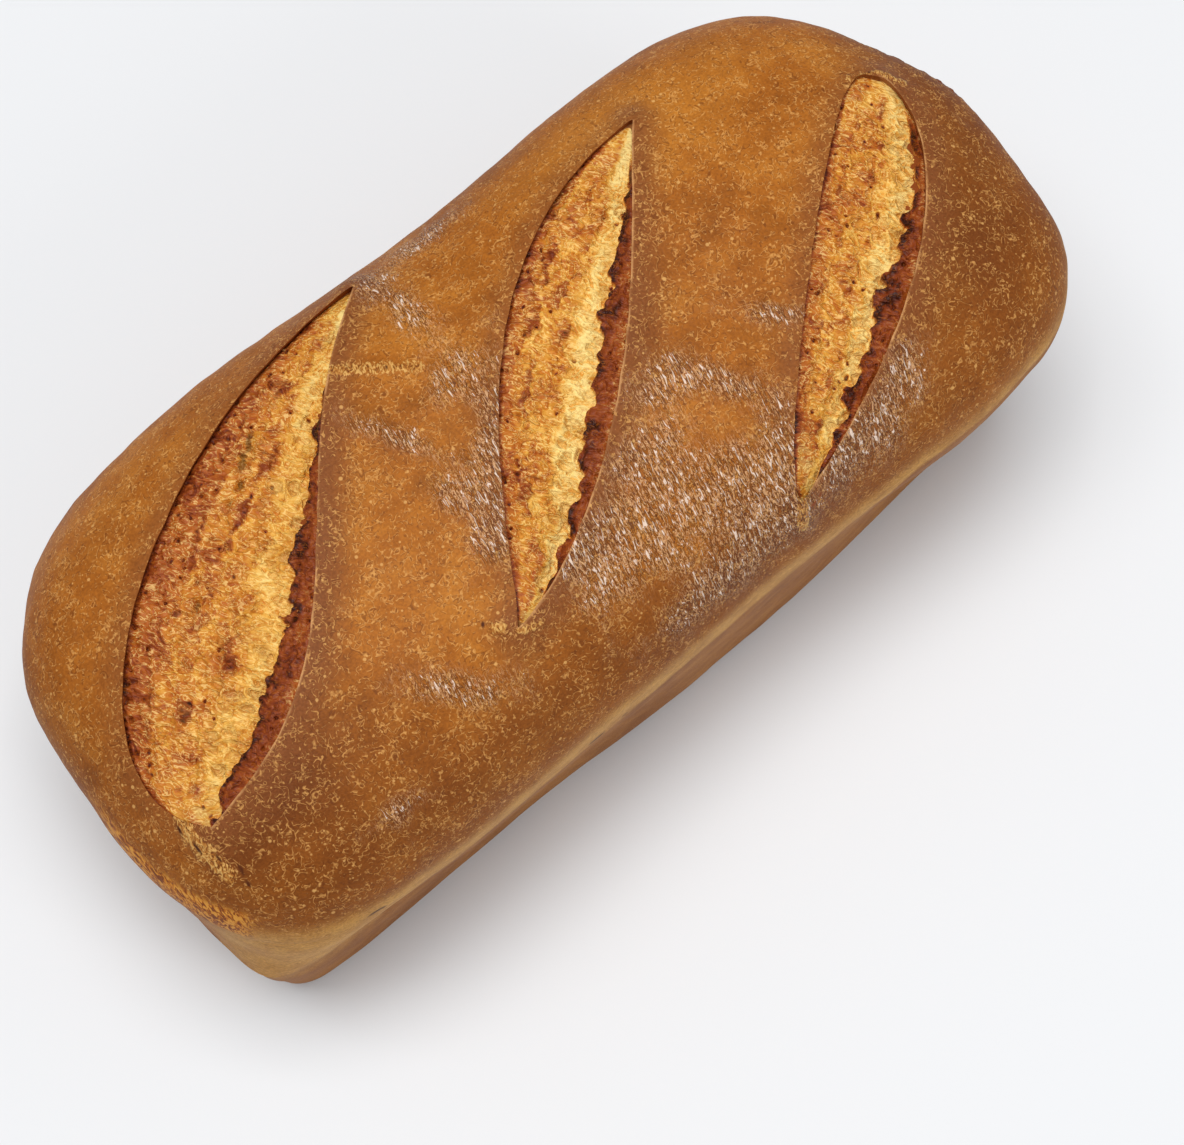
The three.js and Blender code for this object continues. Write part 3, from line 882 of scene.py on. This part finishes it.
    near_end = smoothstep(along, length - 24, length - 8) * (number > 0)
    toast = TOASTED[number] + 0.2 * band + 0.3 * crest * face - 0.1 * smoothstep(t, 0.3, 0.05) * face
    toast += 0.2 * smoothstep(scorched, 0.1, 0.6) * (1 - 0.5 * fresh) - 0.05
    toast += 0.03 * wisps + 0.03 * rough + 0.12 * lumps - 0.18 * strands
    toast += 0.06 * near_end - FRESH_PALER[number] * fresh
    toast -= 0.14 * smoothstep(share, 0.3, 0.08) * (number == 0)
    # A thin dark line just inside the left lip: partly burnt crumb, partly painted shade under the lip.
    toast += 0.16 * smoothstep(from_left, 1.0, 0.3) * smoothstep(along, 3, 12)
    lobes = smoothstep(tear, -2.6, -0.3) * smoothstep(noise(here, 2.6, 45), -0.5, 0.2)
    dark = 0.87 + 0.08 * rough + 0.1 * lumps - 0.12 * climb**3 + 0.24 * lobes - 0.13 * strands
    toast = toast + (dark - toast) * walled
    toast = np.maximum(toast, pores)
    # Open cells in the fresh strip and at the near end: greyer and translucent, with painted shade in them.
    cell_shade = pits * np.maximum(0.2 + 0.8 * fresh, near_end) * (1 - walled) * (1 - band)

    plan = slash_plan(slash, share, offset)
    height = crown_height(plan[..., 0], plan[..., 1])
    top = np.dstack([plan, height + lift])
    under = top[:, [0, -1]] - (0, 0, 8)
    points = np.concatenate([under[:, :1], top, under[:, 1:]], 1)
    count = points.shape[1]
    index = np.arange(len(points) * count).reshape(-1, count)
    following = np.roll(index, -1, axis=1)
    faces = np.stack([index[:-1], index[1:], following[1:], following[:-1]], -1).reshape(-1, 4)
    marks = dict(toast=toast, cell_shade=cell_shade, crevice_shade=crevice_shade)
    marks = {name: np.pad(mark, ((0, 0), (1, 1)), "edge") for name, mark in marks.items()}
    return points.reshape(-1, 3), [*faces.tolist(), index[0].tolist(), index[-1, ::-1].tolist()], marks


def crumb_material():
    """Torn crumb: cream where it opened last, through gold to dark red-brown where the oven
    caught it, with pale strands pulled across the slash, greyer open cells with painted shade
    in them, and painted shade in its crevices."""
    material, tree, surface = new_material("torn_crumb")
    place = in_millimetres(tree)
    toast = stored(tree, "toast")
    fine = grain(tree, place, 0.5, 1.0)
    toast = figure(tree, "ADD", toast, times(tree, figure(tree, "SUBTRACT", fine, 0.5), 0.08))
    crumb = shades(
        tree, toast,
        (0.0, colour(240, 210, 130)), (0.14, colour(228, 172, 76)), (0.28, colour(208, 140, 46)),
        (0.42, colour(190, 112, 32)), (0.56, colour(170, 88, 28)), (0.7, colour(146, 66, 20)),
        (0.85, colour(112, 44, 14)), (1.0, colour(56, 17, 4)),
    )
    # Greyer translucent cells, with painted shade in them.
    crumb = tint(tree, times(tree, stored(tree, "cell_shade"), 0.6), crumb, colour(196, 158, 88))
    threads = grain(tree, in_millimetres(tree, (3.6, 1.6, 1.6), -58), 1, 1.2, 1.8)
    dark_threads = line_at(tree, threads, 0.42, 0.04, 0.01)
    crumb = tint(tree, times(tree, dark_threads, 0.4), crumb, colour(176, 96, 18))
    pale_threads = line_at(tree, threads, 0.52, 0.05, 0.01)
    less_toasted = eased(tree, toast, 0.75, 0.55)
    crumb = tint(tree, times(tree, pale_threads, less_toasted, 0.5), crumb, colour(250, 216, 136))
    # Painted shade in the crevices.
    crumb = tint(tree, eased(tree, stored(tree, "crevice_shade"), 0.35, 0.85, 0, 0.7), crumb, colour(110, 80, 34))
    tree.links.new(crumb, surface["Base Color"])
    height = figure(tree, "MULTIPLY_ADD", fine, 0.15, threads)
    bump = put(tree, "Bump", ("Height", height), ("Distance", 0.0006), ("Strength", 1.0))
    tree.links.new(bump.outputs[0], surface["Normal"])
    surface["Roughness"].default_value = 0.5
    surface["Specular IOR Level"].default_value = 0.22
    return material


torn_crumb = crumb_material()
for number, slash in enumerate(SLASHES):
    points, faces, marks = crumb_sheet(slash, number)
    crumb = object_from(f"crumb_{('left', 'middle', 'right')[number]}", points, faces)
    give(crumb, **marks)
    crumb.data.materials.append(torn_crumb)
    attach(crumb, "root")
    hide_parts("loaf")

# ---------------------------------------------------------------------------------------
# The table, the lights and the camera: a plain pale table top under a large soft light
# overhead and weaker ones from the far left and the near side, seen from almost straight
# above.
# ---------------------------------------------------------------------------------------

table = bpy.data.objects.new("table", bpy.data.meshes.new("table"))
table.data.from_pydata([(-4, -4, 0), (4, -4, 0), (4, 4, 0), (-4, 4, 0)], [], [(0, 1, 2, 3)])
bpy.context.scene.collection.objects.link(table)
table_top, _, surface = new_material("table_top")
surface["Base Color"].default_value = (0.8, 0.81, 0.825, 1)
surface["Roughness"].default_value = 0.8
table.data.materials.append(table_top)


def soft_light(name, place, aim, size, power, tone=(1, 1, 1)):
    """A square area light at a place, turned to face a point."""
    lamp = bpy.data.lights.new(name, "AREA")
    lamp.energy, lamp.size, lamp.color = power, size, tone
    made = bpy.data.objects.new(name, lamp)
    made.location = place
    made.rotation_euler = (Vector(aim) - Vector(place)).to_track_quat("-Z", "Y").to_euler()
    bpy.context.scene.collection.objects.link(made)


soft_light("overhead", (0.03, 0.03, 1.30), (0, 0, 0), 0.5, 8.7)
soft_light("far_left", (-0.3, 0.26, 1.25), (0, 0, 0), 0.4, 3.3)
soft_light("near_side", (0.25, -0.99, 0.80), (0, 0, 0), 0.5, 2.4)
world = bpy.data.worlds.new("studio")
world.use_nodes = True
world.node_tree.nodes["Background"].inputs["Color"].default_value = (0.96, 0.98, 1.0, 1)
world.node_tree.nodes["Background"].inputs["Strength"].default_value = 0.42
bpy.context.scene.world = world
bpy.context.scene.view_settings.view_transform = "Standard"

VIEW_TURN, VIEW_RISE, VIEW_DISTANCE = radians(-40.4), radians(74.8), 0.590
aim = Vector((-0.00756, -0.02694, 0.060))
toward = Vector((sin(VIEW_TURN) * cos(VIEW_RISE), -cos(VIEW_TURN) * cos(VIEW_RISE), sin(VIEW_RISE)))
camera = bpy.data.objects.new("camera", bpy.data.cameras.new("camera"))
camera.location = aim + toward * VIEW_DISTANCE
camera.rotation_euler = toward.to_track_quat("Z", "Y").to_euler()
camera.data.lens = 76.5
camera.data.clip_start = 0.02
bpy.context.scene.collection.objects.link(camera)
bpy.context.scene.camera = camera
